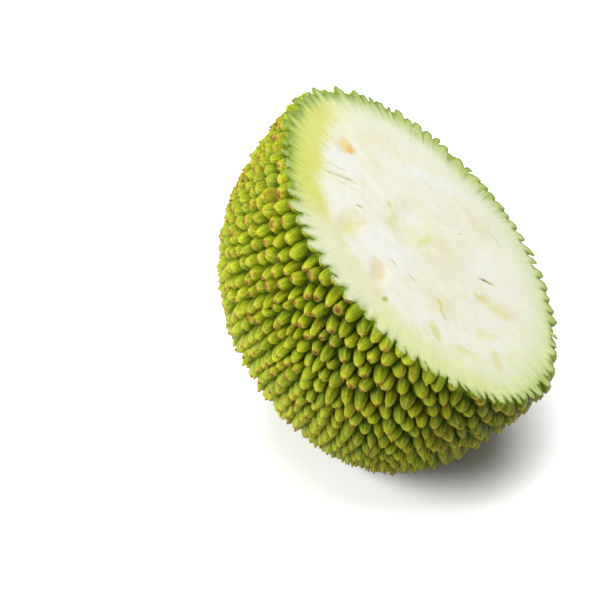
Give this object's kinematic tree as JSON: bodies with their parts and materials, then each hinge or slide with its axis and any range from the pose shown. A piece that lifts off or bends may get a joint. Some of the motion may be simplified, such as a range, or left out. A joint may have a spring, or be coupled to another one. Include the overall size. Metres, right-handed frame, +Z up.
{
  "type": "half jackfruit",
  "caption": "Half of a young green jackfruit, cut straight across, resting on its spiny rind with the pale cut face leaning forward and up.",
  "frame": {"origin": "on the surface the half rests on, under the middle of its box", "axes": "+Z is up, the cut face leans towards +X, and its longer way runs near +Y"},
  "size_m": [0.1584, 0.2172, 0.1443],
  "materials": {
    "rind": "waxy green spiny rind with dry brown tips; the cut face is moist off-white flesh with a pale green border"
  },
  "bodies": {
    "root": {"jackfruit_half": "rind"}
  },
  "joints": []
}
